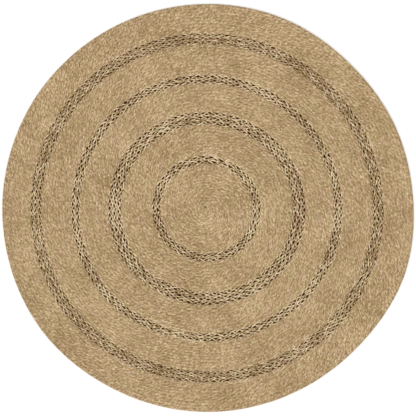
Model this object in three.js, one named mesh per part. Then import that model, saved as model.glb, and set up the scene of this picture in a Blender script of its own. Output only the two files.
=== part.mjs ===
// A round seagrass rug, 1.2 m across, lying flat.
//
// Close coils of twisted two-ply cord are wound outwards from the middle and sewn round to round. Between
// them lie openwork rings of a slack three-strand plait, which is wider than the cord, a little thinner,
// and has holes between its strands. Each coil and each openwork ring is one flat solid that meets its
// neighbours along a wandering seam.
//
// Millimetres, +Z up, the underside at z = 0 and the middle of the rug's outline over the origin.

import * as THREE from "three";

// Width of one round.
const CORD = 9.1;
const PLAIT = 13;
const CROWDED_PLAIT = 11.4; // in the outermost openwork ring, which is pushed together

// Heights: the sewn cord is pressed a little flatter than it is wide.
const COIL_HEIGHT = 8;
const OPENWORK_HEIGHT = 7;

// The round shoulder of the cord at both faces of a coil, cut as one chamfer.
const SHOULDER = 2;

const GAP = 0.3; // between two neighbouring solids
const STEPS = 90; // straight pieces in each seam, all the way round

// From the middle outwards: how many rounds each band has, and how wide a round is. A coil counts the
// part of a round with which it begins or ends.
const BANDS = [
  { name: "coil_centre", openwork: false, rounds: 14.5, width: CORD },
  { name: "openwork_1", openwork: true, rounds: 2, width: PLAIT },
  { name: "coil_1", openwork: false, rounds: 9.9, width: CORD },
  { name: "openwork_2", openwork: true, rounds: 3, width: PLAIT },
  { name: "coil_2", openwork: false, rounds: 9, width: CORD },
  { name: "openwork_3", openwork: true, rounds: 2, width: PLAIT },
  { name: "coil_3", openwork: false, rounds: 9.5, width: CORD },
  { name: "openwork_4", openwork: true, rounds: 3, width: CROWDED_PLAIT },
  { name: "coil_4", openwork: false, rounds: 9.2, width: CORD },
];

// How far the hand-sewn rings stray from true circles, in millimetres and degrees. A ring is shifted to
// one side, drawn into an oval and pulled into three lobes, and it steps inwards where the rounds change.
const WANDER = {
  openwork_1: { shift: 4.0, shiftTo: 192, oval: 2.5, ovalTo: 164, lobes: 0.3, lobesTo: 112, jog: 1.0 },
  openwork_2: { shift: 3.0, shiftTo: 190, oval: 3.0, ovalTo: 168, lobes: 0.8, lobesTo: 112, jog: 1.7 },
  openwork_3: { shift: 3.5, shiftTo: 188, oval: 3.4, ovalTo: 171, lobes: 1.6, lobesTo: 105, jog: 1.6 },
  openwork_4: { shift: 2.5, shiftTo: 166, oval: 2.9, ovalTo: 167, lobes: 1.6, lobesTo: 97, jog: 1.8 },
  rim: { shift: 1.3, shiftTo: 125, oval: 2.0, ovalTo: 17, lobes: 0.0, lobesTo: 0, jog: 2.4 },
};

// Where the rounds change, and how far to each side the step reaches.
const JOG_AT = 230;
const JOG_REACH = 16;

// The rim alone swells where the cord's end is sewn in, and dips a quarter of a turn after it.
const RIM_SWELLS = [
  { at: 342, rise: 10, reach: 12 },
  { at: 45, rise: -6, reach: 12 },
];

// Dry seagrass: the openwork looks browner than the coils, because its holes are dark.
const COIL_COLOUR = "#b49b76";
const OPENWORK_COLOUR = "#9f8663";
const ROUGHNESS = 0.85;

const FULL_TURN = 360;
const radians = THREE.MathUtils.degToRad;

// The angle from one direction to another, between -180 and 180 degrees.
function turnBetween(from, to) {
  const turn = THREE.MathUtils.euclideanModulo(to - from, FULL_TURN);
  return turn > FULL_TURN / 2 ? turn - FULL_TURN : turn;
}

function swellAt(angle, { at, rise, reach }) {
  return rise * Math.exp(-0.5 * (turnBetween(at, angle) / reach) ** 2);
}

// Outwards just before the place, inwards just after it, and level again further on.
function jogAt(angle, size) {
  const along = turnBetween(JOG_AT, angle) / JOG_REACH;
  return -size * along * Math.exp(0.5 - 0.5 * along ** 2);
}

function seamRadius({ radius, follows }, angle) {
  const w = WANDER[follows];
  const swells = follows === "rim" ? RIM_SWELLS : [];
  return (
    radius +
    w.shift * Math.cos(radians(angle - w.shiftTo)) +
    w.oval * Math.cos(radians(2 * (angle - w.ovalTo))) +
    w.lobes * Math.cos(radians(3 * (angle - w.lobesTo))) +
    jogAt(angle, w.jog) +
    swells.reduce((sum, swell) => sum + swellAt(angle, swell), 0)
  );
}

// The closed line of a seam, moved outwards or inwards by an offset.
function seamPoints(seam, offset) {
  return Array.from({ length: STEPS }, (_, step) => {
    const angle = (step * FULL_TURN) / STEPS;
    const r = seamRadius(seam, angle) + offset;
    return new THREE.Vector2(r * Math.cos(radians(angle)), r * Math.sin(radians(angle)));
  });
}

// Gives each band its two seams. Both seams of an openwork ring wander as that ring does.
function layOut(bands) {
  let radius = 0;
  return bands.map((band, index) => {
    const before = band.openwork ? band.name : bands[index - 1]?.name;
    const after = band.openwork ? band.name : (bands[index + 1]?.name ?? "rim");
    const inner = { radius, follows: before };
    radius += band.rounds * band.width;
    return { ...band, inner, outer: { radius, follows: after } };
  });
}

function bandGeometry({ openwork, inner, outer }) {
  const toNeighbour = outer.follows === "rim" ? 0 : GAP / 2;
  const shape = new THREE.Shape(seamPoints(outer, -toNeighbour));
  if (inner.radius > 0) shape.holes.push(new THREE.Path(seamPoints(inner, GAP / 2)));
  const bevel = openwork ? 0 : SHOULDER;
  const height = openwork ? OPENWORK_HEIGHT : COIL_HEIGHT;
  const geometry = new THREE.ExtrudeGeometry(shape, {
    depth: height - 2 * bevel,
    bevelEnabled: !openwork,
    bevelThickness: bevel,
    bevelSize: bevel,
    bevelOffset: -bevel,
    bevelSegments: 1,
  });
  geometry.translate(0, 0, bevel);
  return geometry;
}

const coilGrass = new THREE.MeshStandardMaterial({ color: COIL_COLOUR, roughness: ROUGHNESS });
const openworkGrass = new THREE.MeshStandardMaterial({ color: OPENWORK_COLOUR, roughness: ROUGHNESS });

function makeBand(band) {
  const mesh = new THREE.Mesh(bandGeometry(band), band.openwork ? openworkGrass : coilGrass);
  mesh.name = band.name;
  return mesh;
}

const bands = layOut(BANDS);
const rug = new THREE.Group();
bands.forEach((band) => rug.add(makeBand(band)));

// The middle of the outline's box, not the middle of the coil, is over the origin.
const outline = new THREE.Box2().setFromPoints(seamPoints(bands.at(-1).outer, 0));
const middle = outline.getCenter(new THREE.Vector2());
rug.position.set(-middle.x, -middle.y, 0);

export default rug;
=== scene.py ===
# %% [markdown]
# # A round seagrass rug
#
# The rug is 1.2 m across and as thick as its cord. Dry seagrass is twisted into a two-ply cord, and the
# cord is wound outwards from the middle and sewn round to round: that makes the close coils. In four
# places the maker goes over to a slack three-strand plait for two or three rounds. It is wider than the
# cord and has holes between its strands: that makes the openwork rings.
#
# The packed model has one flat solid for each coil and each openwork ring. It is loaded first, because
# every size and place below is worked out from it.

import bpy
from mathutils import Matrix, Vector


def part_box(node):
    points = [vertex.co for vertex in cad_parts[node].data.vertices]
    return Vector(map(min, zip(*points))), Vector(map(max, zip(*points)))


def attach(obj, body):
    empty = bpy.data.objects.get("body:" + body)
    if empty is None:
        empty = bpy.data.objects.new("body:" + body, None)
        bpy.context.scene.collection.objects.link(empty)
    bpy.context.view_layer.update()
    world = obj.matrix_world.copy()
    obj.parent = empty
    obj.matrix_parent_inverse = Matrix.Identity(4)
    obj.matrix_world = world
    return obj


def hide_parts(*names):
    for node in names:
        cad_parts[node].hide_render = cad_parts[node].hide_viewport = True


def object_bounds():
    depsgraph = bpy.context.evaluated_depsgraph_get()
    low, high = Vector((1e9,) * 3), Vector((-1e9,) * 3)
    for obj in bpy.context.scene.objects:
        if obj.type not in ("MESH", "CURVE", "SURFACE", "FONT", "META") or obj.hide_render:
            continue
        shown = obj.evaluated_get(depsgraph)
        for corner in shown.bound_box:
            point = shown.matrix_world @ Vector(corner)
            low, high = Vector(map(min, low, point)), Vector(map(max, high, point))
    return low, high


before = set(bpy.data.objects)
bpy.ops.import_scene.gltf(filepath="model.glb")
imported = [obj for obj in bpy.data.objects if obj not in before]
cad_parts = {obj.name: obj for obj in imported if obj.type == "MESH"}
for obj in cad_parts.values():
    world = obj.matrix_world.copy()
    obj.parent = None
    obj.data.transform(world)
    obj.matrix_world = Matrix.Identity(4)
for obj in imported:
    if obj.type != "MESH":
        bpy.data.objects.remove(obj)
cad_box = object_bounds()
print("solids:", ", ".join(sorted(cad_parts)))

# %% [markdown]
# ## Tools and units
#
# Blender counts in metres, but a rug is made in millimetres, so small lengths are written as so many
# times `MM`. A cord has thousands of points. They could be moved one by one in a loop, but NumPy moves
# them all at once, which takes seconds instead of minutes.

# %% Tools and units
import math

import bmesh
import bpy
import numpy as np
from mathutils import Matrix, Vector

TURN = 2 * math.pi
MM = 0.001
ROOT = "root"  # the rug is one body: nothing on it moves


def in_mm(box):
    """The length, width and height of a box, in millimetres."""
    return [round(side / MM, 1) for side in Vector(box[1]) - Vector(box[0])]


print("the rug's box in millimetres:", in_mm(cad_box))

# %% [markdown]
# ## The view
#
# A rug has its pattern on one face, so the camera hangs straight above the middle and looks down. An
# orthographic camera would do too, but it can't be walked round the rug later. A long lens high up can,
# and it keeps the far and near rim alike.

# %% The camera
scene = bpy.context.scene
scene.view_settings.view_transform = "Standard"

CAMERA_HEIGHT = 6.0
SENSOR = 36.0  # millimetres, as Blender counts it
MARGIN = 1.0111  # the view is this much wider than the rug
rug_size = Vector(cad_box[1]) - Vector(cad_box[0])
rug_top = cad_box[1][2]
view_width = rug_size.x * MARGIN

camera_data = bpy.data.cameras.new("camera_above")
camera_data.sensor_width = SENSOR
camera_data.lens = SENSOR * (CAMERA_HEIGHT - rug_top) / view_width
camera = bpy.data.objects.new("camera_above", camera_data)
camera.location = (0, 0, CAMERA_HEIGHT)
scene.collection.objects.link(camera)
scene.camera = camera
print("the view is", round(view_width, 4), "m wide, and the lens", round(camera_data.lens, 1), "mm")

# %% [markdown]
# ## How the node trees are written
#
# The grass below is a sum of several patterns, so it reads best as one. Nodes could be made and linked
# one line at a time, but then the sum can't be seen. The small class below wraps a socket. Adding or
# multiplying two of them adds a Math node, and any other node comes from the one method `node`.


# %% A notation for node trees
class Wire:
    """A node's output, which can be added to and multiplied like a number."""

    def __init__(self, tree, socket):
        self.tree = tree
        self.socket = socket

    def __add__(self, other):
        return self.tree.math("ADD", self, other)

    def __sub__(self, other):
        return self.tree.math("SUBTRACT", self, other)

    def __rsub__(self, other):
        return self.tree.math("SUBTRACT", other, self)

    def __mul__(self, other):
        return self.tree.math("MULTIPLY", self, other)

    __radd__ = __add__
    __rmul__ = __mul__


class Tree:
    """A node tree that is written from its inputs towards its output."""

    def __init__(self, tree):
        self.tree = tree

    def node(self, kind, settings=None, sockets=None, output=0):
        made = self.tree.nodes.new(kind)
        for name, value in (settings or {}).items():
            if name == "stops":
                self.set_stops(made.color_ramp, value)
            else:
                setattr(made, name, value)
        for name, value in (sockets or {}).items():
            self.feed(made.inputs[name], value)
        return Wire(self, made.outputs[output])

    def feed(self, socket, value):
        if isinstance(value, Wire):
            self.tree.links.new(value.socket, socket)
        else:
            socket.default_value = value

    def set_stops(self, ramp, stops):
        while len(ramp.elements) < len(stops):
            ramp.elements.new(1)
        for element, (position, colour) in zip(ramp.elements, stops):
            element.position = position
            element.color = colour

    def math(self, operation, first, second):
        return self.node("ShaderNodeMath", {"operation": operation}, {0: first, 1: second})

    def between(self, value, low, high):
        """0 where the value is low or less, 1 where it is high or more, and eased between them."""
        settings = {"interpolation_type": "SMOOTHSTEP"}
        return self.node("ShaderNodeMapRange", settings, {0: value, 1: low, 2: high})

    def mix(self, factor, first, second, blend="MIX"):
        """The first colour where the factor is 0, and blended with the second where it is 1."""
        settings = {"data_type": "RGBA", "blend_type": blend}
        return self.node("ShaderNodeMix", settings, {0: factor, 6: first, 7: second}, output=2)

    def seen(self):
        """1 for what is seen by eye, in gloss or through glass, and 0 for what only gives light."""
        in_view = self.node("ShaderNodeLightPath", output="Is Camera Ray")
        in_gloss = self.node("ShaderNodeLightPath", output="Is Glossy Ray")
        in_glass = self.node("ShaderNodeLightPath", output="Is Transmission Ray")
        return self.math("MAXIMUM", in_view, self.math("MAXIMUM", in_gloss, in_glass))


print("the notation has", len([name for name in vars(Tree) if name[0] != "_"]), "words")

# %% [markdown]
# ## The light
#
# The rug is shown in plain daylight from all sides, with one broad soft lamp from the lower left, just
# enough to round the strands. Area lamps near the rug could do this, but a sky and a sun light every
# part of it alike. Together they give a level at which a colour comes out as it is written. The sky
# looks a little whiter than it shines, so a white ground needs no more light on the grass.

# %% The sky and the lamp
WHITE = (1, 1, 1, 1)
SKY_STRENGTH = 0.8
LAMP_SHARE = 0.22  # what the lamp adds on a level surface, as a share of white
LAMP_LEAN = math.radians(42)
LAMP_FROM = math.radians(235)  # the lower left of the view
LAMP_SOFTNESS = math.radians(50)

world = bpy.data.worlds.new("studio")
world.use_nodes = True
sky = Tree(world.node_tree)
background = world.node_tree.nodes["Background"]
background.inputs["Color"].default_value = WHITE
sky.feed(background.inputs["Strength"], SKY_STRENGTH + sky.seen() * (1 - SKY_STRENGTH))
scene.world = world

lamp_data = bpy.data.lights.new("soft_lamp", "SUN")
lamp_data.energy = LAMP_SHARE * math.pi / math.cos(LAMP_LEAN)
lamp_data.angle = LAMP_SOFTNESS
lamp = bpy.data.objects.new("soft_lamp", lamp_data)
lamp_side = Vector((math.cos(LAMP_FROM), math.sin(LAMP_FROM), 0)) * math.sin(LAMP_LEAN)
lamp_up = Vector((0, 0, math.cos(LAMP_LEAN)))
lamp.rotation_euler = (lamp_side + lamp_up).to_track_quat("Z", "Y").to_euler()
scene.collection.objects.link(lamp)
print("on a level surface the light adds up to", round(SKY_STRENGTH + LAMP_SHARE, 2), "times white")

# %% [markdown]
# ## The floor
#
# The rug lies on a plain white studio floor, which is one large face. A backdrop that curves up would
# hide the horizon as well, but a floor this large has none in view. Beside the rug it glows a little,
# only for the eye, so it is white and still takes the rug's shadow. Under the rug it doesn't glow, or
# each small gap between two rounds would show as a bright speck.

# %% The floor
FLOOR_SIZE = 30.0
FLOOR_COLOUR = (0.94, 0.94, 0.94, 1)
FLOOR_ROUGHNESS = 0.9
FLOOR_GLOW = 0.15
GLOW_FROM = 0.45  # how far from the middle the glow begins and is full, as a share of the rug's width
GLOW_FULL = 0.47

sheet_of_floor = bmesh.new()
bmesh.ops.create_grid(sheet_of_floor, x_segments=1, y_segments=1, size=FLOOR_SIZE / 2)
floor_mesh = bpy.data.meshes.new("floor")
sheet_of_floor.to_mesh(floor_mesh)
sheet_of_floor.free()
floor = bpy.data.objects.new("floor", floor_mesh)
scene.collection.objects.link(floor)

floor_material = bpy.data.materials.new("floor_paint")
floor_material.use_nodes = True
floor_mesh.materials.append(floor_material)
floor_shader = floor_material.node_tree.nodes["Principled BSDF"]
floor_shader.inputs["Base Color"].default_value = FLOOR_COLOUR
floor_shader.inputs["Roughness"].default_value = FLOOR_ROUGHNESS
floor_shader.inputs["Specular IOR Level"].default_value = 0.0
floor_shader.inputs["Emission Strength"].default_value = 1.0

floor_tree = Tree(floor_material.node_tree)
floor_place = floor_tree.node("ShaderNodeTexCoord", output="Object")
length = {"operation": "LENGTH"}
from_middle = floor_tree.node("ShaderNodeVectorMath", length, {0: floor_place}, output="Value")
beside_rug = floor_tree.between(from_middle, rug_size.x * GLOW_FROM, rug_size.x * GLOW_FULL)
floor_tree.feed(floor_shader.inputs["Emission Color"], floor_tree.seen() * beside_rug * FLOOR_GLOW)
print("the floor is", FLOOR_SIZE, "m square")

# %% [markdown]
# ## The seams between the bands
#
# Nothing on a hand-sewn rug is a true circle: each seam between two bands wanders a little. The wander
# could be written here as numbers once more, but the solids have it already, and read from them it
# can't come out different. Each solid has its seams as points on spokes round the middle. The farthest
# point on each spoke is on the outer seam, and the nearest is on the inner one.

# %% Read the seams
SPOKES = 90  # as many as a seam of the solids has points


def places_of(mesh):
    """The x, the y and the z of a mesh's points, as three rows."""
    place = np.zeros(len(mesh.vertices) * 3, np.float32)
    mesh.vertices.foreach_get("co", place)
    return place.reshape(-1, 3).T


def seam(node, nearest):
    """The angle and distance of a solid's inner or outer seam, seen from the rug's middle."""
    x, y, _ = places_of(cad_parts[node].data)
    angle = np.arctan2(y, x) % TURN
    distance = np.hypot(x, y)
    spoke = np.round(angle / TURN * SPOKES).astype(int) % SPOKES
    pick = np.argmin if nearest else np.argmax
    found = [np.flatnonzero(spoke == s)[pick(distance[spoke == s])] for s in range(SPOKES)]
    order = np.array(found)[np.argsort(angle[found])]
    return angle[order], distance[order]


seams = {node: (seam(node, True), seam(node, False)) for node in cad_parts}
for node, (_, (_, outer)) in sorted(seams.items()):
    print(node, "reaches", round(float(outer.mean()) / MM, 1), "mm from the middle on average")

# %% [markdown]
# ## How the rounds lie
#
# The cord runs round and round in one long line. An even spiral would be simple, but it isn't how the
# rug is sewn: each round closes on itself, and at one place, the join, all the rounds of a band step
# outwards by one. Only near the middle is it a true spiral.
#
# So a place on the cord has one number, the rounds walked since the start. From it follow the inner and
# the outer edge of the cord, counted in rounds across the band. Where the edges meet, the cord starts
# or ends: it tapers to nothing at a seam, and the band is filled without a gap.

# %% The rounds of a band
MIDDLE_COIL = "coil_centre"
# The middle coil's closed rounds lie half a round further out, so that the last one ends at its seam.
HALF_ROUND = 0.5


def eased(value):
    """0 up to 0, 1 from 1 on, and a smooth rise between them."""
    value = np.clip(value, 0, 1)
    return value * value * (3 - 2 * value)


def risen(value, reach):
    """A smooth rise from 0 to 1, which begins at minus the reach and ends at the reach."""
    return eased(value / (2 * reach) + 0.5)


def stepped_edge(walked, reach):
    """The inner edge, in rounds, of a cord that steps outwards over a short reach at each join."""
    join = np.round(walked)
    return join - 1 + risen(walked - join, reach)


def spiral_edge(walked, reach, rounds):
    """The same for the middle coil: a spiral at first, which turns into closed rounds further out."""
    share = np.clip(walked / (rounds - 1 - HALF_ROUND), 0, 1)
    return walked + share * (stepped_edge(walked, reach) + HALF_ROUND - walked)


def inner_edge(node, walked, reach, rounds):
    """The cord's inner edge, in rounds. One round further on it is the cord's outer edge."""
    if node == MIDDLE_COIL:
        return spiral_edge(walked, reach, rounds)
    return stepped_edge(walked, reach)


print("half way between two joins the edge is at", float(stepped_edge(np.array(4.5), 0.1)), "rounds")

# %% [markdown]
# ## The line that a cord or plait follows
#
# A band's cord is one long piece, so it has one line through the middle between its two edges. A curve
# with a bevel could carry it. The line is kept here as points a millimetre apart instead, because the
# width of the round, the way ahead and the length so far are then known at each point, and a real cord
# changes all the time.

# %% Where the lines start
COIL_MIDDLE = np.array([-6.4, 0.9]) * MM  # the winding starts a little left of the outline's middle
START_OF_SPIRAL = -0.95  # in rounds: at -1 the cord has no width yet


def seam_from(middle, angle, seam_angle, seam_distance):
    """How far a seam is from any middle, in the direction of each angle."""
    x = seam_distance * np.cos(seam_angle) - middle[0]
    y = seam_distance * np.sin(seam_angle) - middle[1]
    direction = np.arctan2(y, x) % TURN
    order = np.argsort(direction)
    return np.interp(angle, direction[order], np.hypot(x, y)[order], period=TURN)


print("the winding starts", np.round(COIL_MIDDLE / MM, 1), "mm from the rug's middle")

# %% The line
LINE_STEP = 1.0 * MM


class Line:
    """The middle line of one band's cord or plait, with its width, from the first round to the last."""

    def __init__(self, node, rounds, join, reach):
        inner, outer = seams[node]
        in_middle = node == MIDDLE_COIL
        middle = COIL_MIDDLE if in_middle else np.zeros(2)
        start = START_OF_SPIRAL if in_middle else -reach
        end = rounds - HALF_ROUND + reach if in_middle else rounds + reach
        self.walked = np.linspace(start, end, int(rounds * TURN * outer[1].mean() / LINE_STEP))
        angle = join + self.walked * TURN

        near = 0 if in_middle else seam_from(middle, angle, *inner)
        far = seam_from(middle, angle, *outer)
        low = np.clip(inner_edge(node, self.walked, reach, rounds), 0, rounds)
        high = np.clip(inner_edge(node, self.walked + 1, reach, rounds), 0, rounds)
        self.full_width = (far - near) / rounds
        self.width = (high - low) * self.full_width
        distance = near + (low + high) / 2 * self.full_width

        self.place = middle[:, None] + distance * np.array([np.cos(angle), np.sin(angle)])
        self.length = np.concatenate([[0], np.cumsum(np.hypot(*np.diff(self.place)))])
        self.ahead = np.gradient(self.place, axis=1)
        self.ahead /= np.hypot(*self.ahead)

    def at(self, values, length):
        """Values kept along the line, read at other lengths of it."""
        return np.interp(length, self.length, values)

    def ways(self, length):
        """The place on the line, the way ahead and the way inwards, at other lengths of it."""
        place = np.array([self.at(part, length) for part in self.place])
        ahead = np.array([self.at(part, length) for part in self.ahead])
        return place, ahead, np.array([-ahead[1], ahead[0]])


print("a line has a point every", LINE_STEP / MM, "mm")

# %% The lines of the coils
COIL_ROUNDS = {"coil_centre": 14.5, "coil_1": 10, "coil_2": 9, "coil_3": 10, "coil_4": 9}
JOIN = math.radians(230)
JOIN_REACH = 0.16  # metres to each side of the join
MOST_REACH = 0.12  # the same in rounds, at the most


def reach_in_rounds(node):
    return min(MOST_REACH, JOIN_REACH / (TURN * seams[node][1][1].mean()))


coil_lines = {}
for node, rounds in COIL_ROUNDS.items():
    coil_lines[node] = Line(node, rounds, JOIN, reach_in_rounds(node))
    print(node, "takes", round(float(coil_lines[node].length[-1]), 2), "m of cord")

# %% [markdown]
# ## The unevenness of the hand
#
# Nothing that a hand twists and sews is even: a cord gets thicker and thinner, and its twist slips. A
# Displace modifier with a noise texture could move the points, but it can't tell width from twist or
# height. So the chance is a list of values along the cord, one for each such thing, which changes
# smoothly over a given length. The dice are seeded, so the rug is the same in each run.


# %% The unevenness of the hand
def wobble(along, reach, size, dice):
    """Smooth chance: values round nought, which change over about the given reach."""
    knots = dice.normal(0, size, int(along.max() / reach) + 3)
    cell = np.floor(along / reach).astype(int)
    return knots[cell] + (knots[cell + 1] - knots[cell]) * eased(along / reach - cell)


example = wobble(np.linspace(0, 1, 9), 0.25, 1.0, np.random.default_rng(0))
print("chance along a metre:", np.round(example, 1))

# %% [markdown]
# ## The two-ply cord
#
# Two plies twisted round each other make a nearly round cord with two grooves that wind along it. They
# could be two tubes wound round each other, but half of their surface would be hidden inside. So one
# section with two points pushed in is spun round the cord's axis while it moves along it, for one lay:
# the length in which a ply goes once round. An Array modifier joins as many lays as the band needs.

# %% One lay of cord
CORD_SIDES = 12
CORD_STEPS = 12  # rings of points in one lay
LAY = 48.0 * MM
GROOVE_LEFT = 0.8  # how far out the bottom of a groove is, as a share of the radius
cord_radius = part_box("coil_centre")[1].z / 2


def cord_lay():
    shape = bmesh.new()
    across = Matrix.Rotation(TURN / 4, 4, "Y")
    bmesh.ops.create_circle(shape, segments=CORD_SIDES, radius=cord_radius, matrix=across)
    top_and_bottom = [vert for vert in shape.verts if abs(vert.co.y) < cord_radius / 10]
    bmesh.ops.scale(shape, vec=(1, 1, GROOVE_LEFT), verts=top_and_bottom)
    bmesh.ops.spin(
        shape,
        geom=shape.verts[:] + shape.edges[:],
        cent=(0, 0, 0),
        axis=(1, 0, 0),
        dvec=(LAY / CORD_STEPS, 0, 0),
        angle=-TURN,
        steps=CORD_STEPS,
        use_merge=False,
    )
    return shape


def facing_out(shape):
    """Turns the faces of a tube along X outwards."""
    face = next(iter(shape.faces))
    face.normal_update()
    middle = face.calc_center_median()
    if face.normal.dot(Vector((0, middle.y, middle.z))) < 0:
        bmesh.ops.reverse_faces(shape, faces=shape.faces[:])
    return shape


def as_mesh(shape, name):
    mesh = bpy.data.meshes.new(name)
    shape.to_mesh(mesh)
    shape.free()
    return mesh


def triangles(mesh):
    """How many triangles a mesh has when each face is cut into them."""
    return len(mesh.loops) - 2 * len(mesh.polygons)


cord_mesh = as_mesh(facing_out(cord_lay()), "cord_lay")
print("one lay of cord has", triangles(cord_mesh), "triangles")


# %% Repeat a short tube, and close its ends
def repeated(mesh, count, step, name):
    """A long straight tube of many short ones, as an object."""
    piece = bpy.data.objects.new(name, mesh)
    scene.collection.objects.link(piece)
    array = piece.modifiers.new("short_tubes", "ARRAY")
    array.count = count
    array.use_relative_offset = False
    array.use_constant_offset = True
    array.constant_offset_displace = (step, 0, 0)
    array.use_merge_vertices = True
    array.merge_threshold = step / 1000  # only points that are meant to be one
    depsgraph = bpy.context.evaluated_depsgraph_get()
    whole = bpy.data.meshes.new_from_object(piece.evaluated_get(depsgraph))
    whole.name = name
    piece.modifiers.clear()
    piece.data = whole
    close_ends(whole)
    return piece


def close_ends(mesh):
    shape = bmesh.new()
    shape.from_mesh(mesh)
    rim = [edge for edge in shape.edges if edge.is_boundary]
    bmesh.ops.holes_fill(shape, edges=rim)
    shape.to_mesh(mesh)
    shape.free()


def move_to(mesh, place, smooth=True):
    """Gives each point of a mesh its own place."""
    mesh.vertices.foreach_set("co", np.ascontiguousarray(place.T, dtype=np.float32).ravel())
    mesh.polygons.foreach_set("use_smooth", [smooth] * len(mesh.polygons))
    mesh.update()


def keep(mesh, name, kind, values):
    """Stores a number or a vector for each point, for the material to read."""
    layer = mesh.attributes.new(name, kind, "POINT")
    field = "vector" if kind == "FLOAT_VECTOR" else "value"
    layer.data.foreach_set(field, np.ascontiguousarray(values.T, dtype=np.float32).ravel())


print("an array joins the short tubes, and NumPy moves their points")

# %% [markdown]
# ## How the cord is pressed and shaded
#
# Sewing and feet press the cord, and they leave it squarer above than below. A Lattice could press the
# whole coil at once, but each round has to stay a cord of its own. So the press works on the section:
# it says how far out each point of a circle comes.
#
# The grooves are painted darker, for their shade and a little dust. The outer flank of the rug's rim has
# more painted shade still, and the eye of the winding has the most. Paint on a texture could show that,
# but a value on each point of the cord follows it wherever it goes.

# %% The section of the pressed cord
SQUARE_ABOVE = 3.2  # 2 is round, and more is squarer
SQUARE_BELOW = 2.0
RIM_COIL = "coil_4"
RIM_FADE = 0.025  # in rounds, to each side: over this reach the cord comes out to the rim
RIM_PAINTED_SHADE = 2.0  # how much more painted shade the outer flank of the rug's rim has than a groove
EYE_SHADE = 4.0  # the same for the eye
EYE_LENGTH = 25 * MM


def turned(y, z, angle):
    """The points of a section, turned about the cord's own axis."""
    return y * np.cos(angle) - z * np.sin(angle), y * np.sin(angle) + z * np.cos(angle)


def pressed(angle, z):
    """How far out a point of the section comes, as a multiple of where it was on the circle."""
    square = np.where(z > 0, SQUARE_ABOVE, SQUARE_BELOW)
    return (np.abs(np.cos(angle)) ** square + np.abs(np.sin(angle)) ** square) ** (-1 / square)


def shade_of_cord(node, line, along, groove, angle):
    """The painted shade: 0 on the crest of a ply, 1 in a groove, and more on the rim's outer flank and in the
    eye.
    """
    if node == RIM_COIL:
        on_rim = risen(line.at(line.walked, along) - COIL_ROUNDS[node] + 1, RIM_FADE)
        outer_flank = np.clip(-np.cos(angle), 0, 1)
        groove = np.maximum(groove, RIM_PAINTED_SHADE * on_rim * outer_flank)
    if node == MIDDLE_COIL:
        groove = np.maximum(groove, EYE_SHADE * (1 - eased(along / EYE_LENGTH)))
    return np.clip(groove, 0, EYE_SHADE)


comes_out = round(float(pressed(TURN / 8, 1)), 2)
print("half way between crest and side the pressed cord comes out", comes_out, "times as far")

# %% [markdown]
# ## Lay the cord
#
# No two rounds are quite alike: the twist slips, the cord swells and thins, sinks a little and strays
# to the side. A Curve modifier could bend the straight cord along its line, but it can't do all this.
# So each point is placed here, to the left or right of the line, and the cord is as wide as its round
# is there.
#
# The material reads three values of each point. "strand" is its place on the straight and untwisted
# cord, so the grass follows the twist. The second is the shade that is painted on it. "side" goes from 0
# on the crest to 1 on the flanks.

# %% Lay the cord along its line
SIDE_PRESS = 1.1  # each round presses a little into the next
PRESSED_FLAT = 0.86  # the cord's usual height, as a share of its greatest
LEAST_HEIGHT = 0.8
TIP = 0.12  # the least width of the tapered ends, as a share of the full width
# How uneven the cord is: the length over which each thing changes, and how far it strays.
SHORT_SLIP = (0.09, 3.5 * MM)
LONG_SLIP = (0.6, 12 * MM)
SWELL = (0.05, 0.025)
SINK = (0.05, 0.03)
ASIDE = (0.11, 0.12 * MM)


def coil(node, line, seed):
    dice = np.random.default_rng(seed)
    lays = max(1, round(line.length[-1] / LAY))
    piece = repeated(cord_mesh, lays, LAY, node + "_cord")
    x, y, z = places_of(piece.data).astype(float)
    along = x * line.length[-1] / (lays * LAY)
    untwisted = np.array([along, *turned(y, z, TURN * x / LAY)])
    groove = (1 - np.hypot(y, z) / cord_radius) / (1 - GROOVE_LEFT)

    slip = wobble(along, *SHORT_SLIP, dice) + wobble(along, *LONG_SLIP, dice)
    y, z = turned(y, z, slip * TURN / LAY)
    angle = np.arctan2(z, y)
    corner = pressed(angle, z)
    width = line.at(line.width, along)
    swell = 1 + wobble(along, *SWELL, dice)
    least_width = TIP * line.full_width.mean()
    y = y * corner * SIDE_PRESS * swell * np.maximum(width, least_width) / 2 / cord_radius
    share = np.clip(width / line.at(line.full_width, along), TIP, 1)
    z = cord_radius + z * corner * np.sqrt(share)
    z = z * (PRESSED_FLAT + wobble(along, *SINK, dice)).clip(LEAST_HEIGHT, 1.0)

    aside = wobble(along, *ASIDE, dice)
    middle, _, inwards = line.ways(along)
    move_to(piece.data, np.vstack([middle + inwards * (y + aside), z]))
    keep(piece.data, "strand", "FLOAT_VECTOR", untwisted)
    keep(piece.data, "hollow", "FLOAT", shade_of_cord(node, line, along, groove, angle))
    keep(piece.data, "side", "FLOAT", np.cos(angle) ** 2)
    return piece


coils = {}
for seed, (node, line) in enumerate(coil_lines.items(), start=1):
    coils[node] = coil(node, line, seed)
    print(node, "has", triangles(coils[node].data), "triangles")

# %% [markdown]
# ## A strand of the slack plait
#
# A strand of the plait is a handful of loose blades, wider than it is high. It could be a curve with a
# bevel, but it gets thicker and thinner on its way. So it is a straight tube again, of one short step
# that an Array repeats, and its points are moved last.

# %% A straight strand
STRAND_SIDES = 8
STRAND_STEP = 3.0 * MM
STRAND_WIDE = 4.3 * MM
STRAND_THICK = 2.6 * MM


def strand_tube():
    shape = bmesh.new()
    across = Matrix.Rotation(TURN / 4, 4, "Y")
    bmesh.ops.create_circle(shape, segments=STRAND_SIDES, radius=0.5, matrix=across)
    bmesh.ops.scale(shape, vec=(1, STRAND_WIDE, STRAND_THICK), verts=shape.verts)
    rim = bmesh.ops.extrude_edge_only(shape, edges=shape.edges[:])
    moved = [part for part in rim["geom"] if isinstance(part, bmesh.types.BMVert)]
    bmesh.ops.translate(shape, vec=(STRAND_STEP, 0, 0), verts=moved)
    return shape


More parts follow.
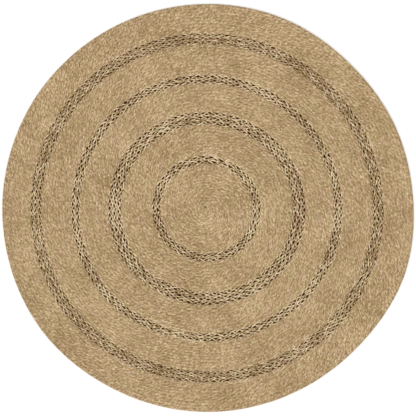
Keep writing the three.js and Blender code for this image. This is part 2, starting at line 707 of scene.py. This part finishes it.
strand_mesh = as_mesh(facing_out(strand_tube()), "strand_tube")
print("a step of strand has", triangles(strand_mesh), "triangles")

# %% [markdown]
# ## The openwork rings
#
# The four rings are sewn like the coils, but each has its own join. A loop of the plait is about 20 mm
# long, so a round further out has more of them. At its joins a ring may be odd: in the first and the
# last one the loops are drawn out into long slits, and in the third the strands lie so thick that the
# holes close. Such places could be left out, but they are what shows that the rug was made by hand.

# %% What is known of each openwork ring
# Where its join is, how far the join reaches to each side, in rounds, and the loops of each round.
OPENWORK = {
    "openwork_1": {"join": math.radians(68), "reach": 0.05, "loops": (41, 48)},
    "openwork_2": {"join": math.radians(232), "reach": 0.04, "loops": (74, 79, 90)},
    "openwork_3": {"join": math.radians(257), "reach": 0.03, "loops": (108, 119)},
    "openwork_4": {"join": math.radians(336), "reach": 0.014, "loops": (152, 157, 162)},
}


def odd(at, reach, loops=1.0, width=1.0):
    """A place after so many rounds, its reach in rounds, and the shares of loops and width left there."""
    return {"at": at, "reach": reach, "loops": loops, "width": width}


ODD_PLACES = {
    "openwork_1": [odd(0.015, 0.04, loops=0.6), odd(1.015, 0.04, loops=0.6), odd(2.0, 0.04, loops=0.6)],
    "openwork_3": [odd(0.0, 0.008, width=1.4), odd(1.0, 0.008, width=1.4), odd(2.0, 0.008, width=1.4)],
    "openwork_4": [odd(0.991, 0.01, loops=0.1, width=0.8), odd(2.009, 0.008, loops=0.15, width=0.8)],
}


def odd_share(node, walked, what):
    """What is left of the loops or of the width, at each point of the line."""
    share = np.ones(len(walked))
    for place in ODD_PLACES.get(node, []):
        share += (place[what] - 1) * np.exp(-(((walked - place["at"]) / place["reach"]) ** 2))
    return share


print("the rings have", sum(sum(facts["loops"]) for facts in OPENWORK.values()), "loops")

# %% [markdown]
# ## Plait three strands along the line
#
# In a flat three-strand plait each strand swings from one edge to the other and back while it goes over
# one neighbour and under the next. Seen along the plait it draws a figure of eight: once across for
# every two times up and down. The three strands do the same a third of a swing apart. One loop could be
# modelled and repeated, but the loops of a real plait are all of different lengths, so the swing is
# worked out along the whole line.
#
# The flanks of a strand lie in the shade of its neighbours, so the painted shade is full there, half way
# up, and nought on its crest and its underside.

# %% How a strand swings
STRANDS = 3
SWING = 0.45  # how far a strand swings to each side, as a share of the round's width
OUTER_LOOPS = 0.35 * MM  # the outer loops are pulled out by this much, the inner ones pushed in
LIFT = 1.1 * MM
CREST = 0.3  # what "side" is where the grass is neither paler nor duller for it
GRASS_APART = 20  # metres between two strands in the grass pattern, so no two have the same blades
# How uneven a strand is: the length over which each thing changes, and how far it strays.
PHASE = (0.05, 0.12)
LOOP_SIZE = (0.045, 0.08)
FATNESS = (0.02, 0.07)
openwork_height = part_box("openwork_1")[1].z


def strand(node, line, swings, number, seed):
    dice = np.random.default_rng(seed)
    steps = round(line.length[-1] / STRAND_STEP)
    piece = repeated(strand_mesh, steps, STRAND_STEP, f"{node}_strand_{number + 1}")
    x, y, z = places_of(piece.data).astype(float)
    along = x * line.length[-1] / (steps * STRAND_STEP)
    flank = np.clip(1 - 2 * np.abs(z) / STRAND_THICK, 0, 1)

    phase = TURN * (swings + number / STRANDS) + wobble(line.length, *PHASE, dice)
    share = line.width / line.full_width
    size = share * (1 + wobble(line.length, *LOOP_SIZE, dice))
    out = size * (SWING * line.full_width * np.sin(phase) - OUTER_LOOPS * np.cos(2 * phase))
    up = LIFT * np.sin(2 * phase) * np.sqrt(share)
    lean = line.at(np.gradient(out, line.length), along)
    climb = line.at(np.gradient(up, line.length), along)

    width_left = line.at(odd_share(node, line.walked, "width"), along)
    y = y * ((1 + wobble(along, *FATNESS, dice)) * width_left)
    z = z / np.sqrt(1 + climb**2)
    middle, ahead, inwards = line.ways(along)
    sideways = (inwards + lean * ahead) / np.sqrt(1 + lean**2)
    plan = middle - inwards * line.at(out, along) + sideways * y - ahead * climb * z
    height = openwork_height / 2 + line.at(up, along) + z
    move_to(piece.data, np.vstack([plan, height]))
    keep(piece.data, "strand", "FLOAT_VECTOR", np.array([along + GRASS_APART * number, y, z]))
    keep(piece.data, "hollow", "FLOAT", flank)
    keep(piece.data, "side", "FLOAT", np.full(len(height), CREST))
    return piece


print("a strand swings", SWING, "of a round to each side, and", LIFT / MM, "mm up and down")

# %% Plait three strands along each ring
LOOP_LENGTH = (0.15, 0.06)  # the length over which the loops change, and by what share


def joined(pieces, name):
    shape = bmesh.new()
    for piece in pieces:
        shape.from_mesh(piece.data)
        bpy.data.meshes.remove(piece.data)
    whole = bpy.data.objects.new(name, as_mesh(shape, name))
    scene.collection.objects.link(whole)
    return whole


def plait(node, join, reach, loops, seed):
    line = Line(node, len(loops), join, reach)
    dice = np.random.default_rng(seed)
    middles = np.arange(len(loops)) + 0.5  # of the rounds
    loops_there = np.interp(line.walked, middles, loops)
    loops_there *= (1 + wobble(line.length, *LOOP_LENGTH, dice)) * odd_share(node, line.walked, "loops")
    swings = np.cumsum(loops_there * np.gradient(line.walked)) / STRANDS
    strands = [strand(node, line, swings, number, seed + number + 1) for number in range(STRANDS)]
    return joined(strands, node + "_plait")


plaits = {}
for seed, (node, facts) in enumerate(OPENWORK.items(), start=2):
    plaits[node] = plait(node, seed=10 * seed, **facts)
    print(node, "has", triangles(plaits[node].data), "triangles")

# %% [markdown]
# ## What lies in the holes
#
# The holes of the plait look dark brown, not open, because they lie deep in shade. That shade is painted
# on a thin sheet below the strands, dark above and plain brown below. It is a square section, spun once
# round and then fitted to the two seams of its ring.

# %% The dark sheet of painted shade inside the openwork
INNER_THICK = 0.5 * MM
INNER_HEIGHT = 2.6 * MM
INNER_STEPS = 360
INNER_MARGIN = -1.5 * MM  # the sheet goes a little way under the neighbouring cords


def spun_section():
    """A ring from 1 to 2 metres out and 1 metre high, which is fitted later."""
    shape = bmesh.new()
    upright = Matrix.Rotation(TURN / 4, 4, "X")
    bmesh.ops.create_grid(shape, x_segments=1, y_segments=1, size=0.5, matrix=upright)
    bmesh.ops.translate(shape, vec=(1.5, 0, 0), verts=shape.verts)
    bmesh.ops.delete(shape, geom=shape.faces[:], context="FACES_ONLY")
    bmesh.ops.spin(
        shape,
        geom=shape.verts[:] + shape.edges[:],
        cent=(0, 0, 0),
        axis=(0, 0, 1),
        dvec=(0, 0, 0),
        angle=TURN,
        steps=INNER_STEPS,
        use_merge=True,
    )
    bmesh.ops.recalc_face_normals(shape, faces=shape.faces[:])
    return shape


def painted_shade_sheet(node):
    mesh = as_mesh(spun_section(), node + "_inner_blades")
    x, y, z = places_of(mesh).astype(float)
    angle = np.arctan2(y, x) % TURN
    inner, outer = seams[node]
    near = seam_from(np.zeros(2), angle, *inner) + INNER_MARGIN
    far = seam_from(np.zeros(2), angle, *outer) - INNER_MARGIN
    distance = near + (np.hypot(x, y) - 1) * (far - near)
    height = INNER_HEIGHT + z * INNER_THICK
    move_to(mesh, np.array([distance * np.cos(angle), distance * np.sin(angle), height]), smooth=False)
    keep(mesh, "strand", "FLOAT_VECTOR", np.array([angle * distance.mean(), distance, height]))
    # painted shade on the sheet's top face only; its underside is plain brown grass
    keep(mesh, "hollow", "FLOAT", np.where(z > 0, 1, 0))
    keep(mesh, "side", "FLOAT", np.full(len(height), CREST))
    piece = bpy.data.objects.new(mesh.name, mesh)
    scene.collection.objects.link(piece)
    return piece


painted_shade_sheets = {node: painted_shade_sheet(node) for node in OPENWORK}
# the sheet of painted shade under each ring
print("the inner blades are", INNER_THICK / MM, "mm thick")

# %% [markdown]
# ## Dry seagrass
#
# A blade of seagrass dries to a straw brown with a yellowish or pinkish cast, darker in its folds. A
# few blades are bleached. Each strand holds several blades side by side, so its colour runs in narrow
# streaks along it, and whole patches of the rug are a little paler or darker, as the bundles of grass
# were.
#
# A picture of grass could be wrapped round each strand, but it would repeat and show where it ends. The
# streaks are noise on the strand's own coordinates instead, drawn out along its length, so they follow
# the twist and the plait. The patches are noise on the rug's coordinates.

# %% The colours and patterns of the grass
DARK = (0.22, 0.11, 0.03, 1)
BROWN = (0.31, 0.198, 0.09, 1)
STRAW = (0.487, 0.342, 0.184, 1)
PALE = (0.78, 0.595, 0.375, 1)
# a pale colour: the painted sheen of shining blades in the plait, and the colour of bleached blades
SHEEN = (1.0, 0.82, 0.55, 1)
HOLLOW_SHADE = (0.17, 0.08, 0.01, 1)
YELLOWISH = (0.985, 1.01, 0.94, 1)
PINKISH = (1.01, 0.98, 1.0, 1)

# How often a pattern changes in a metre along the strand and in a metre across it, and its detail.
FIBRES = (120, 1200, 2.0)
BLEACHED_BLADES = (50, 300, 0.0)
CAST_OF_BLADES = (50, 130, 2.0)
BLADES_ALONG = 150  # across the strand, each kind of grass has its own
BLADES_DETAIL = 1.0
# How often a pattern changes in a metre of the rug, and its detail.
TONE_PATCHES = (9.0, 4.0)
CAST_PATCHES = (32.0, 4.0)


def streaks(tree, strand_place, along, across, detail):
    drawn = {"operation": "MULTIPLY"}
    scaled = tree.node("ShaderNodeVectorMath", drawn, {0: strand_place, 1: (along, across, across)})
    return tree.node("ShaderNodeTexNoise", {}, {"Vector": scaled, "Scale": 1.0, "Detail": detail})


def patches(tree, place, scale, detail):
    return tree.node("ShaderNodeTexNoise", {}, {"Vector": place, "Scale": scale, "Detail": detail})


print("a fibre is about", round(1000 / FIBRES[1], 1), "mm wide")

# %% [markdown]
# ## How the grass gets its colour
#
# One number, the tone, runs from dark to pale over the blades, fibres and patches. It picks the colour,
# and a paler blade is also a little smoother. Each kind of grass could be mixed in full, but they
# differ only in how much of the tone each colour takes. Bleached blades, the cast of yellow or pink,
# and the shade in the hollows are laid over that, in this order. Hollows hardly shine, so the openwork
# has less gloss than the coils.

# %% What the tone is made of
# What each pattern adds to the tone. Each is about a half, and so is the sum, once some is taken off.
BLADES_IN_TONE = 0.7
FIBRES_IN_TONE = 0.2
PATCHES_IN_TONE = 0.2
PAINTED_FLANK_LIGHT = 0.2  # painted light: the cord's flanks are paler and its crest darker, to even out the shade in the creases
TAKEN_OFF = 0.05
BLEACHED_FROM = 0.66  # where in the noise a blade begins to be bleached
BLEACHED_FULL = 0.76
BLEACHED_SHARE = 0.4  # how far the bleached blades go towards the sheen
BLADES_IN_CAST = 0.4  # the rest of the cast comes from the patches
CASTS = [(0.4, YELLOWISH), (0.6, PINKISH)]
ROUGHEST = 0.95
SMOOTHER_BY = 0.3  # for a whole step of tone
RELIEF_STRENGTH = 0.5
RELIEF = 0.5 * MM

even_tone = 0.5 * (BLADES_IN_TONE + FIBRES_IN_TONE + PATCHES_IN_TONE) - TAKEN_OFF
print("the tone of even grass is", round(even_tone, 2))

# %% The grass material
GLOSS = 0.15


def grass(name, stops, blades_across, painted_shade_strength, bleached_share=BLEACHED_SHARE, gloss=GLOSS):
    """Blades of several tones. The stops say how much of the tone each colour takes."""
    material = bpy.data.materials.new(name)
    material.use_nodes = True
    tree = Tree(material.node_tree)
    strand_place = tree.node("ShaderNodeAttribute", {"attribute_name": "strand"}, output="Vector")
    hollow = tree.node("ShaderNodeAttribute", {"attribute_name": "hollow"}, output="Fac")
    side = tree.node("ShaderNodeAttribute", {"attribute_name": "side"}, output="Fac")
    place = tree.node("ShaderNodeTexCoord", output="Object")

    blades = streaks(tree, strand_place, BLADES_ALONG, blades_across, BLADES_DETAIL)
    fibres = streaks(tree, strand_place, *FIBRES)
    patchy = patches(tree, place, *TONE_PATCHES)
    tone = blades * BLADES_IN_TONE + fibres * FIBRES_IN_TONE + patchy * PATCHES_IN_TONE
    # Painted light: the cord is paler on its flanks and darker on its crest.
    tone = tone + (side - CREST) * PAINTED_FLANK_LIGHT - TAKEN_OFF
    colour = tree.node("ShaderNodeValToRGB", {"stops": stops}, {"Fac": tone})

    bleached = tree.between(streaks(tree, strand_place, *BLEACHED_BLADES), BLEACHED_FROM, BLEACHED_FULL)
    colour = tree.mix(bleached * bleached_share, colour, SHEEN)
    cast_of_blades = streaks(tree, strand_place, *CAST_OF_BLADES)
    cast = cast_of_blades * BLADES_IN_CAST + patches(tree, place, *CAST_PATCHES) * (1 - BLADES_IN_CAST)
    tint = tree.node("ShaderNodeValToRGB", {"stops": CASTS}, {"Fac": cast})
    colour = tree.mix(1.0, colour, tint, blend="MULTIPLY")
    # Painted shade: the colour is darkened in the grooves, on the strands' flanks, on the rim, in the eye and
    # on top of the sheet in the holes.
    colour = tree.mix(hollow * painted_shade_strength, colour, HOLLOW_SHADE, blend="MULTIPLY")

    shader = material.node_tree.nodes["Principled BSDF"]
    tree.feed(shader.inputs["Base Color"], colour)
    tree.feed(shader.inputs["Roughness"], ROUGHEST - tone * SMOOTHER_BY)
    bump = {"Strength": RELIEF_STRENGTH, "Distance": RELIEF, "Height": fibres}
    tree.feed(shader.inputs["Normal"], tree.node("ShaderNodeBump", {}, bump))
    shader.inputs["Specular IOR Level"].default_value = gloss
    return material


print("grass is the same recipe for every piece, with its own stops and blades")

# %% [markdown]
# ## Four finishes of grass
#
# The cord is made of middling grass, all of a tone. The plait shows more of both ends: dark blades
# beside blades with a painted sheen. The last ring is of duller grass than the others. The sheet in the
# holes is painted shade, so it is dark and has neither bleached blades nor gloss.

# %% Four finishes of grass
CORD_TONES = [(0.37, BROWN), (0.5, STRAW), (0.63, PALE)]
PLAIT_TONES = [(0.3, DARK), (0.4, BROWN), (0.48, STRAW), (0.59, SHEEN)]
DULL_TONES = [(0.31, DARK), (0.41, BROWN), (0.5, STRAW), (0.63, SHEEN)]
SHADED_TONES = [(0.4, DARK), (0.7, BROWN)]
CORD_BLADES = 270  # changes in a metre across the strand
PLAIT_BLADES = 400
PLAIT_GLOSS = 0.05

grass_of_coils = grass("seagrass_cord", CORD_TONES, CORD_BLADES, painted_shade_strength=0.15)
grass_of_openwork = grass("seagrass_plait", PLAIT_TONES, PLAIT_BLADES, painted_shade_strength=0.8, gloss=PLAIT_GLOSS)
dull_openwork = grass("seagrass_plait_dull", DULL_TONES, PLAIT_BLADES, painted_shade_strength=0.8, gloss=PLAIT_GLOSS)
shaded_grass = grass(
    "seagrass_in_shade", SHADED_TONES, PLAIT_BLADES, painted_shade_strength=1.0, bleached_share=0, gloss=0
)
print("four finishes of grass")

# %% [markdown]
# ## Put the pieces on the rug
#
# Each cord and each plait takes the place of one solid, and all of them ride on the rug's one body. The
# dark sheets of painted shade in the holes come in addition, so they take the place of none. One slot for
# all would do for a plain rug, but someone may want the rings in another grass than the coils, so each
# kind has its own.

# %% Put the pieces on the rug
for node, piece in coils.items():
    piece.data.materials.append(grass_of_coils)
    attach(piece, ROOT)
    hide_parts(node)

for node, piece in plaits.items():
    piece.data.materials.append(dull_openwork if node == "openwork_4" else grass_of_openwork)
    painted_shade_sheets[node].data.materials.append(shaded_grass)
    for part in (piece, painted_shade_sheets[node]):
        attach(part, ROOT)
    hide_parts(node)
print(len(coils) + len(plaits) + len(painted_shade_sheets), "pieces ride on the rug")

# %% [markdown]
# ## How large the pieces are when they lie flat
#
# A rug bends, so the size that each piece has when it lies flat is worked out and printed here. A coil
# of cord is sewn so close that it is a sheet itself. In the openwork the thin sheet of painted shade under
# the plait is measured. The sizes could be typed in, but measured on the seams they always fit the solids.


# %% How large each coil and openwork ring is when it lies flat
def flat_size(node):
    """A disc is as wide as it is long. A ring is a strip as wide as its band and as long as its middle."""
    inner, outer = seams[node]
    if node == MIDDLE_COIL:
        side = 2 * outer[1].mean()
        return (side, side), math.pi / 4 * side**2
    width = outer[1].mean() - inner[1].mean()
    length = math.pi * (outer[1].mean() + inner[1].mean())
    return (width, length), None


for node, piece in coils.items():
    flat, area = flat_size(node)
    print(node, "flat", [round(side, 4) for side in flat])
for node, piece in painted_shade_sheets.items():
    flat, area = flat_size(node)
    print(node, "flat", [round(side, 4) for side in flat])

# %% [markdown]
# ## The size of the finished rug
#
# A room is furnished by the solids, so the finished rug has to fill the same box.
